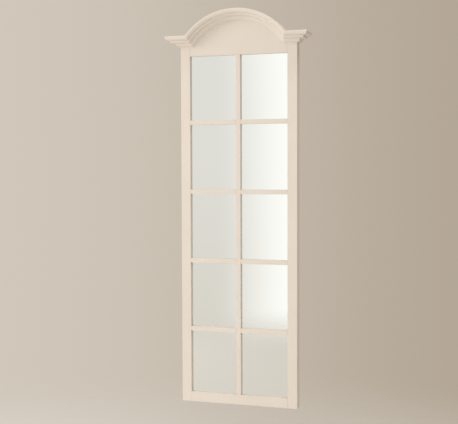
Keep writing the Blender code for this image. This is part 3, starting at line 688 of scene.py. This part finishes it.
def crown_profile():
    """(projection, drop) pairs round the moulding's section, its arrises softened by the paint.

    A fillet on top, a large round under it, a narrow band, a hollow, and a small foot that sweeps to the
    board.
    """
    fillet_drop = 0.0050
    round_start = (CROWN_PROJECTION - 0.0005, fillet_drop)
    round_end = (0.0350, 0.0180)
    band_top = (0.0340, 0.0180)
    band_bottom = (0.0330, 0.0255)
    hollow_end = (0.0140, 0.0330)
    foot_top = (0.0130, 0.0330)
    foot_bottom = (0.0120, 0.0385)
    points = [(0.0, 0.0), (CROWN_PROJECTION, 0.0), (CROWN_PROJECTION, fillet_drop), round_start]
    points += quarter_ellipse(round_start, round_end, start_runs_across=False, steps=16)
    points += [band_top, band_bottom]
    points += quarter_ellipse(band_bottom, hollow_end, start_runs_across=True, steps=14)
    points += [foot_top, foot_bottom]
    points += quarter_ellipse(foot_bottom, (0.0015, CROWN_HEIGHT), start_runs_across=True, steps=8)
    points.append((0.0, CROWN_HEIGHT))
    return softened(points, CROWN_ARRIS)


def inner_mitre_x(drop):
    """Where straight and arched mouldings of one drop meet, on the right."""
    lower_radius = ARCH_RADIUS - CROWN_HEIGHT
    lower_x = math.sqrt(lower_radius**2 - (CROWN_BOTTOM - ARCH_CENTRE_Z) ** 2)
    return ARCH_HALF_SPAN + (lower_x - ARCH_HALF_SPAN) * drop / CROWN_HEIGHT


def arch_end_angle(drop):
    """The angle above level at which the arch at this drop meets the right-hand mitre's plane."""
    run = inner_mitre_x(CROWN_HEIGHT) - inner_mitre_x(0.0)
    normal_angle = math.atan2(run, CROWN_HEIGHT)
    distance = math.cos(normal_angle) * ARCH_HALF_SPAN
    distance += math.sin(normal_angle) * (EAR_TOP - ARCH_CENTRE_Z)
    return normal_angle + math.acos((distance - MITRE_GAP / 2) / (ARCH_RADIUS - drop))


def make_arch():
    """The section swept along the arch, its ends cut on the mitre planes."""
    profile = crown_profile()
    ends = [arch_end_angle(drop) for _, drop in profile]
    sections = []
    for step in range(ARCH_STEPS + 1):
        share = step / ARCH_STEPS
        section = []
        for (projection, drop), end in zip(profile, ends):
            angle = end + (math.pi - 2 * end) * share
            radius = ARCH_RADIUS - drop
            x = radius * math.cos(angle)
            z = ARCH_CENTRE_Z + radius * math.sin(angle)
            section.append((x, FRONT - projection, z))
        sections.append(section)
    mesh = smooth(lofted_mesh("arch_moulding", sections), 40)
    add_piece("arch_moulding", mesh, [level_paint])


def make_ears():
    """The short straight lengths over the stiles and their returns to the wall."""
    for side, word in SIDES:
        inner, outer, corner, wall_end = [], [], [], []
        for projection, drop in crown_profile():
            y, z = FRONT - projection, EAR_TOP - drop
            corner_x = HALF_WIDTH + projection
            inner.append((side * (inner_mitre_x(drop) + MITRE_GAP), y, z))
            outer.append((side * (corner_x - MITRE_GAP / 2), y, z))
            corner.append((side * corner_x, y + MITRE_GAP, z))
            wall_end.append((side * corner_x, BACK, z))
        ear = smooth(lofted_mesh(f"{word}_ear_moulding", [inner, outer]), 40)
        add_piece(f"{word}_ear_moulding", ear, [level_paint])
        returning = smooth(lofted_mesh(f"{word}_return_moulding", [corner, wall_end]), 40)
        add_piece(f"{word}_return_moulding", returning, [return_paint])


make_arch()
make_ears()


# ---------------------------------------------------------------- mirror and backing


def sheet_piece(node, materials, edge_width, face_slots):
    """A flat sheet with seamed edges; face_slots are the materials' slots of its front, back and edges."""
    low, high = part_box(node)
    body = bmesh.new()
    bmesh.ops.create_cube(body, size=1.0)
    bmesh.ops.scale(body, vec=high - low, verts=body.verts)
    bmesh.ops.translate(body, vec=(low + high) / 2, verts=body.verts)
    bmesh.ops.bevel(body, geom=body.edges, offset=edge_width, segments=3, profile=0.5, affect="EDGES")
    mesh = mesh_from(node, body)
    piece = add_piece(node, mesh, materials)
    front, back, edges = face_slots
    for face in mesh.polygons:
        if face.normal.y < -0.99:
            face.material_index = front
        elif face.normal.y > 0.99:
            face.material_index = back
        else:
            face.material_index = edges
    smooth(mesh, 25)
    even = piece.modifiers.new("even_normals", "WEIGHTED_NORMAL")
    even.keep_sharp = True


sheet_piece("mirror_glass", [silver, mirror_back, glass_edge], GLASS_SEAM, (0, 1, 2))
sheet_piece("backing_board", [hardboard], BOARD_SEAM, (0, 0, 0))


# ---------------------------------------------------------------- hardware on the back


def thread_radius(depth_below_head, angle, length):
    """The screw's radius at a depth below its head and at an angle round it."""
    to_tip = length - depth_below_head
    taper = min(1.0, to_tip / SCREW_TIP_LENGTH)
    phase = (depth_below_head / SCREW_PITCH + angle / (2 * math.pi)) % 1.0
    crest = max(0.0, 1 - abs(2 * phase - 1) / THREAD_SHARE)
    fade = min(1.0, depth_below_head / SCREW_PITCH)
    return taper * (SCREW_CORE_RADIUS + (SCREW_CREST_RADIUS - SCREW_CORE_RADIUS) * crest * fade)


def shank_rings(length, seat):
    """The threaded shank's rings, from just above its tip up to the head."""
    rings = []
    angles = [2 * math.pi * side / SCREW_SIDES for side in range(SCREW_SIDES)]
    steps = round(length / SCREW_PITCH * RINGS_PER_PITCH)
    for step in range(1, steps + 1):
        depth = length * (1 - step / steps)
        rings.append(turned_ring([thread_radius(depth, angle, length) for angle in angles], seat - depth))
    return rings


def head_rings(seat):
    """The pan head's rings, from its underside up its low rim and over its dome."""
    profile = [
        (SCREW_HEAD_RADIUS - SCREW_HEAD_EDGE, 0.0),
        (SCREW_HEAD_RADIUS, SCREW_HEAD_EDGE),
        (SCREW_HEAD_RADIUS, SCREW_RIM_HEIGHT),
    ]
    for step in range(1, DOME_STEPS):
        angle = math.pi / 2 * step / DOME_STEPS
        radius = SCREW_HEAD_RADIUS * (DOME_FLAT + (1 - DOME_FLAT) * math.cos(angle))
        height = SCREW_RIM_HEIGHT + (SCREW_HEAD_HEIGHT - SCREW_RIM_HEIGHT) * math.sin(angle)
        profile.append((radius, height))
    return [turned_ring([radius] * SCREW_SIDES, seat + height) for radius, height in profile]


def screw_mesh(name, length, seat):
    """A pan-head wood screw along Y with a cut thread; its head sits on y = seat, its point towards -Y."""
    body = bmesh.new()
    tip = body.verts.new((0.0, seat - length, 0.0))
    rings = [*shank_rings(length, seat), *head_rings(seat)]
    levels = [[body.verts.new(point) for point in ring] for ring in rings]
    top = body.verts.new((0.0, seat + SCREW_HEAD_HEIGHT, 0.0))
    for side in range(SCREW_SIDES):
        following = (side + 1) % SCREW_SIDES
        body.faces.new((tip, levels[0][side], levels[0][following]))
        body.faces.new((top, levels[-1][following], levels[-1][side]))
        for first, second in zip(levels, levels[1:]):
            body.faces.new((first[side], first[following], second[following], second[side]))
    screw = mesh_from(name, body)
    return smooth(carved(screw, recess_mesh(seat + SCREW_HEAD_HEIGHT), "DIFFERENCE"), 35)


def recess_mesh(top):
    """The cross-shaped driver recess, tapering from the head's top down."""
    outline = []
    for quarter in range(4):
        turn = Matrix.Rotation(math.pi / 2 * quarter, 2)
        for across, along in (
            (RECESS_HALF_WIDTH, RECESS_HALF_WIDTH),
            (RECESS_HALF_LENGTH, RECESS_HALF_WIDTH),
            (RECESS_HALF_LENGTH, -RECESS_HALF_WIDTH),
        )[::-1]:
            outline.append(turn @ Vector((across, along)))
    sections = [
        [(point.x * size, y, point.y * size) for point in outline]
        for size, y in ((RECESS_MOUTH, top + RECESS_OVERRUN), (RECESS_FLOOR, top - RECESS_DEPTH))
    ]
    return lofted_mesh("recess", sections)


def place_of(node):
    """The middle of a CAD node, as (x, z), and its lowest and highest y."""
    low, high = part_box(node)
    return (low.x + high.x) / 2, (low.z + high.z) / 2, low.y, high.y


def make_screws():
    """Six button screws and four strap screws, each over its CAD node."""
    for kind, levels in (("button", ("lower", "middle", "upper")), ("strap", ("lower", "upper"))):
        _, _, tip, top = place_of(f"left_lower_{kind}_screw")
        head_seat = top - SCREW_HEAD_HEIGHT
        mesh = screw_mesh(f"{kind}_screw", head_seat - tip, head_seat)
        for _, word in SIDES:
            for level, turn in zip(levels, SCREW_TURNS):
                node = f"{word}_{level}_{kind}_screw"
                x, z, _, _ = place_of(node)
                add_piece(node, mesh, [zinc], place=(x, 0.0, z), turn=turn)


def button_outline():
    """A turn button from behind: round about its screw, tapering to a smaller round tip along +X."""
    lean = math.degrees(math.asin((BUTTON_TAIL_RADIUS - BUTTON_TIP_RADIUS) / BUTTON_REACH))
    tail = arc_points((0.0, 0.0), BUTTON_TAIL_RADIUS, 90 - lean, 270 + lean, 32)
    tip = arc_points((BUTTON_REACH, 0.0), BUTTON_TIP_RADIUS, -90 + lean, 90 - lean, 16)
    return tail + tip


def plate_with_hole_mesh(name, outline, radius, y_range, segments=40):
    """A flat plate in x and z between two y, with a round hole at the origin."""
    near, far = y_range
    plate = lofted_mesh(name, [[(x, near, z) for x, z in outline], [(x, far, z) for x, z in outline]])
    circle = arc_points((0.0, 0.0), radius, 0, 360, segments)[:-1]
    plug_y = (near - CUT_MARGIN, far + CUT_MARGIN)
    plug = lofted_mesh("hole", [[(x, y, z) for x, z in circle] for y in plug_y])
    return carved(plate, plug, "DIFFERENCE")


def make_turn_buttons():
    """Stamped steel turn buttons, each on its own body and about its own screw."""
    _, _, near, far = place_of("left_lower_turn_button")
    mesh = plate_with_hole_mesh("turn_button", button_outline(), SCREW_HOLE_RADIUS, (near, far))
    mesh.shade_smooth()
    for side, word in SIDES:
        for level in ("lower", "middle", "upper"):
            node = f"{word}_{level}_turn_button"
            x, z, _, _ = place_of(f"{word}_{level}_button_screw")
            inward = 0 if side < 0 else 180
            body = f"{word}_{level}_button"
            button = add_piece(node, mesh, [zinc], body, place=(x, 0.0, z), turn=inward)
            rounding(button, STAMPED_EDGE, segments=2, angle=40)


def strap_side_profile():
    """The strap from its side, in (y, z): a flat leaf whose top is rolled round the ring's bar."""
    back, face = STRAP_LOW.y, STRAP_LOW.y + STRAP_THICKNESS
    centre = (back + KNUCKLE_RADIUS, STRAP_HIGH.z - KNUCKLE_RADIUS)
    outer = arc_points(centre, KNUCKLE_RADIUS, 180, -110, 40)
    inner = arc_points(centre, KNUCKLE_BORE, -110, 180, 32)
    foot = STRAP_LOW.z - CUT_MARGIN
    return [(back, foot), *outer, *inner, (face, centre[1] - LEAF_BEND_DROP), (face, foot)]


def strap_outline(x):
    """From behind: a half-round foot as wide as the leaf, and above it a block wide of the leaf all round."""
    half = (STRAP_HIGH.x - STRAP_LOW.x) / 2
    shoulder = STRAP_LOW.z + half
    wide = half + CUT_MARGIN
    above = STRAP_HIGH.z + CUT_MARGIN
    outline = arc_points((x, shoulder), half, 180, 360, 24)
    outline += [(x + wide, shoulder + CUT_MARGIN), (x + wide, above)]
    outline += [(x - wide, above), (x - wide, shoulder + CUT_MARGIN)]
    return outline


def make_straps():
    """Strap hangers: a rolled leaf with a round foot and two holes."""
    half = (STRAP_HIGH.x - STRAP_LOW.x) / 2
    profile = strap_side_profile()
    cutter_y = (STRAP_LOW.y - CUT_MARGIN, STRAP_HIGH.y + CUT_MARGIN)
    for _, word in SIDES:
        node = f"{word}_hanger_strap"
        x, _, _, _ = place_of(node)
        leaf = lofted_mesh(node, [[(x + end, y, z) for y, z in profile] for end in (-half, half)])
        block = lofted_mesh("strap_outline", [[(a, y, b) for a, b in strap_outline(x)] for y in cutter_y])
        mesh = carved(leaf, block, "INTERSECT")
        for level in ("lower", "upper"):
            _, z, _, _ = place_of(f"{word}_{level}_strap_screw")
            circle = arc_points((x, z), SCREW_HOLE_RADIUS, 0, 360, 32)[:-1]
            hole = lofted_mesh("hole", [[(a, y, b) for a, b in circle] for y in cutter_y])
            mesh = carved(mesh, hole, "DIFFERENCE")
        mesh.shade_smooth()
        strap = add_piece(node, mesh, [zinc])
        rounding(strap, STAMPED_EDGE, segments=2, angle=40)


def ring_path():
    """A D ring's centre line in (x, z), from its pivot bar round the bow that hangs below it."""
    corner = RING_CORNER_RADIUS
    half = (RING_HIGH.x - RING_LOW.x) / 2 - WIRE_RADIUS
    length = RING_HIGH.z - RING_LOW.z - 2 * WIRE_RADIUS
    points = arc_points((half - corner, -corner), corner, 90, 0, 8)
    points += arc_points((0.0, half - length), half, 0, -180, 56)
    points += arc_points((-half + corner, -corner), corner, 180, 90, 8)
    return points


def make_rings():
    """D rings of round wire, each on its own body."""
    path = [Vector((x, 0.0, z)) for x, z in ring_path()]
    across = Vector((0.0, 1.0, 0.0))
    sections = []
    for i, point in enumerate(path):
        along = (path[(i + 1) % len(path)] - path[i - 1]).normalized()
        outward = along.cross(across)
        section = []
        for side in range(WIRE_SIDES):
            angle = 2 * math.pi * side / WIRE_SIDES
            spoke = outward * math.cos(angle) + across * math.sin(angle)
            section.append(point + spoke * WIRE_RADIUS)
        sections.append(section)
    mesh = smooth(lofted_mesh("hanging_ring", sections, closed=True), 60)
    for _, word in SIDES:
        node = f"{word}_hanging_ring"
        low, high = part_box(node)
        pivot = ((low.x + high.x) / 2, (low.y + high.y) / 2, high.z - WIRE_RADIUS)
        add_piece(node, mesh, [zinc], f"{word}_ring", place=pivot)


def bumper_profile():
    """(radius, y) along a felt disc's side, from a slight bevel at the stile to a soft edge at the wall."""
    low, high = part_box("left_lower_wall_bumper")
    radius, near, far = (high.x - low.x) / 2, low.y, high.y
    profile = [(radius - BUMPER_EDGE / 2, near), (radius, near + BUMPER_EDGE / 2)]
    centre = (radius - BUMPER_EDGE, far - BUMPER_EDGE)
    return profile + arc_points(centre, BUMPER_EDGE, 0, 90, 5)


def make_bumpers():
    """Felt discs with a cut edge that has softened."""
    rings = [turned_ring([radius] * BUMPER_SIDES, y) for radius, y in bumper_profile()]
    mesh = smooth(lofted_mesh("wall_bumper", rings), 25)
    for _, word in SIDES:
        for level in ("lower", "upper"):
            node = f"{word}_{level}_wall_bumper"
            x, z, _, _ = place_of(node)
            add_piece(node, mesh, [felt], place=(x, 0.0, z))


make_screws()
make_turn_buttons()
make_straps()
make_rings()
make_bumpers()


# ---------------------------------------------------------------- CAD pieces that stay, hidden inside


def dress_cad_nodes():
    """Dowels, foam strips and setting blocks keep their CAD shape, with softened edges and a finish."""
    for name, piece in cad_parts.items():
        if piece.hide_render:
            continue
        if name.endswith("_dowel"):
            material = beech
        elif name.endswith("_foam_strip"):
            material = foam
        else:
            material = rubber
        piece.data.materials.clear()
        piece.data.materials.append(material)
        weld = piece.modifiers.new("weld", "WELD")
        weld.merge_threshold = WELD_DISTANCE
        rounding(piece, HIDDEN_EDGE, segments=2, angle=25)


dress_cad_nodes()


# ---------------------------------------------------------------- studio

FLOOR_DROP = 0.25  # from the mirror's lowest edge
FLOOR_RADIUS = 3.4
FLOOR_FADE_START = 0.9  # from the middle of the floor
FLOOR_FORWARD = 1.4  # from the wall to the middle of the floor


def make_floor():
    """A plain pale floor that fades out into the background."""
    body = bmesh.new()
    bmesh.ops.create_circle(body, cap_ends=True, segments=96, radius=FLOOR_RADIUS)
    floor = bpy.data.objects.new("studio_floor", mesh_from("studio_floor", body))
    floor.location = (0.0, -FLOOR_FORWARD, BOTTOM - FLOOR_DROP)
    bpy.context.scene.collection.objects.link(floor)
    look = Shading("pale_floor", (0.90, 0.885, 0.855), 0.85)
    coordinates = look.add("ShaderNodeTexCoord")
    length = look.add("ShaderNodeVectorMath", operation="LENGTH")
    look.join(coordinates.outputs["Object"], length.inputs[0])
    fade = look.add("ShaderNodeMapRange", {1: FLOOR_FADE_START, 2: FLOOR_RADIUS, 3: 0.0, 4: 1.0})
    fade.interpolation_type = "SMOOTHERSTEP"
    look.join(length.outputs["Value"], fade.inputs["Value"])
    clear = look.add("ShaderNodeBsdfTransparent")
    mix = look.add("ShaderNodeMixShader")
    look.join(fade.outputs["Result"], mix.inputs["Fac"])
    look.join(look.shader.outputs["BSDF"], mix.inputs[1])
    look.join(clear.outputs["BSDF"], mix.inputs[2])
    output = next(node for node in look.tree.nodes if node.type == "OUTPUT_MATERIAL")
    look.join(mix.outputs["Shader"], output.inputs["Surface"])
    floor.data.materials.append(look.material)
    return floor


BACKDROP_LEFT = (0.635, 0.575, 0.495)
BACKDROP_MIDDLE = (0.440, 0.372, 0.295)
BACKDROP_RIGHT = (0.300, 0.250, 0.195)
ROOM_PALE = (0.790, 0.775, 0.725)
ROOM_WHITE = (1.060, 1.060, 1.020)
ROOM_LOW = (0.740, 0.705, 0.640)
ROOM_SIDE = (0.900, 0.888, 0.850)
CEILING = (0.820, 0.800, 0.760)


class WorldShading:
    """The studio's surroundings as blends between plain tones by direction."""

    def __init__(self, world):
        world.use_nodes = True
        self.tree = world.node_tree
        self.tree.nodes.clear()
        coordinates = self.tree.nodes.new("ShaderNodeTexCoord")
        self.parts = self.tree.nodes.new("ShaderNodeSeparateXYZ")
        self.tree.links.new(coordinates.outputs["Generated"], self.parts.inputs["Vector"])

    def blend(self, axis, low, high, first, second):
        """From the first tone to the second as the direction's part along the axis goes from low to high."""
        share = self.tree.nodes.new("ShaderNodeMapRange")
        share.interpolation_type = "SMOOTHSTEP"
        share.inputs["From Min"].default_value = low
        share.inputs["From Max"].default_value = high
        self.tree.links.new(self.parts.outputs[axis], share.inputs["Value"])
        mix = self.tree.nodes.new("ShaderNodeMix")
        mix.data_type = "RGBA"
        self.tree.links.new(share.outputs["Result"], mix.inputs["Factor"])
        for tone, socket in ((first, mix.inputs["A"]), (second, mix.inputs["B"])):
            if isinstance(tone, tuple):
                socket.default_value = (*tone, 1.0)
            else:
                self.tree.links.new(tone, socket)
        return mix.outputs["Result"]

    def finish(self, tone):
        background = self.tree.nodes.new("ShaderNodeBackground")
        self.tree.links.new(tone, background.inputs["Color"])
        output = self.tree.nodes.new("ShaderNodeOutputWorld")
        self.tree.links.new(background.outputs["Background"], output.inputs["Surface"])


def make_world():
    """A greige backdrop behind the mirror and a pale room in front of it, brighter to one side."""
    world = bpy.data.worlds.new("studio")
    bpy.context.scene.world = world
    look = WorldShading(world)
    backdrop = look.blend("X", -0.55, 0.0, BACKDROP_LEFT, BACKDROP_MIDDLE)
    backdrop = look.blend("X", 0.05, 0.70, backdrop, BACKDROP_RIGHT)
    walls = look.blend("Z", -0.16, 0.02, ROOM_LOW, ROOM_PALE)
    side_lit = look.blend("X", -0.60, -0.42, ROOM_SIDE, walls)
    bright = look.blend("X", -0.330, -0.245, side_lit, ROOM_WHITE)
    room = look.blend("X", -0.12, 0.16, bright, walls)
    room = look.blend("Z", 0.30, 0.75, room, CEILING)
    look.finish(look.blend("Y", -0.30, 0.20, room, backdrop))


# Each light's name, the way to it from the mirror's middle, its distance, its width, the light that it gives
# there, and whether it is a bounce light, which leaves the floor alone and isn't seen in glossy surfaces
LIGHTS = (
    ("key", (-0.78, -0.50, 0.37), 4.5, 1.8, 0.78, False),
    ("front_bounce", (-0.32, -0.60, -0.73), 6.0, 6.4, 1.04, True),
    ("ceiling_bounce", (0.32, -0.12, 0.94), 6.0, 2.4, 1.10, True),
    ("back_bounce", (0.06, 0.98, -0.15), 6.0, 5.0, 0.90, True),
)
LIGHT_COLOR = (1.0, 0.992, 0.978)


def make_lights(floor):
    """Broad soft lights: a key from the upper left, and bounces from low in front, above and behind."""
    apart = bpy.data.collections.new("apart_from_bounce")
    apart.objects.link(floor)
    apart.collection_objects[0].light_linking.link_state = "EXCLUDE"
    middle = Vector((0.0, 0.0, (BOTTOM + ARCH_HIGH.z) / 2))
    for name, way, distance, width, strength, bounce in LIGHTS:
        light = bpy.data.lights.new(name, "AREA")
        light.shape = "DISK"
        light.size = width
        light.energy = strength * math.pi * distance**2
        light.color = LIGHT_COLOR
        holder = bpy.data.objects.new(name, light)
        holder.location = middle + Vector(way).normalized() * distance
        holder.rotation_euler = Vector(way).to_track_quat("Z", "Y").to_euler()
        holder.visible_camera = False
        if bounce:
            holder.visible_glossy = False
            holder.light_linking.receiver_collection = apart
            holder.light_linking.blocker_collection = apart
        bpy.context.scene.collection.objects.link(holder)


CAMERA_PLACE = Vector((1.2082, -3.8248, -0.5638))
CAMERA_YAW = 18.27  # degrees to the left of the wall's normal
CAMERA_PITCH = 2.64  # degrees down
CAMERA_ROLL = -0.19
CAMERA_LENS = 74.82
CAMERA_SENSOR = 36.0  # mm wide


def make_camera():
    data = bpy.data.cameras.new("camera")
    data.lens = CAMERA_LENS
    data.sensor_width = CAMERA_SENSOR
    camera = bpy.data.objects.new("camera", data)
    camera.location = CAMERA_PLACE
    yaw = Matrix.Rotation(math.radians(CAMERA_YAW), 4, "Z")
    pitch = Matrix.Rotation(math.radians(90 - CAMERA_PITCH), 4, "X")
    roll = Matrix.Rotation(math.radians(CAMERA_ROLL), 4, "Z")
    camera.rotation_euler = (yaw @ pitch @ roll).to_euler()
    bpy.context.scene.collection.objects.link(camera)
    bpy.context.scene.camera = camera


studio_floor = make_floor()
make_world()
make_lights(studio_floor)
make_camera()
bpy.context.scene.view_settings.view_transform = "Standard"
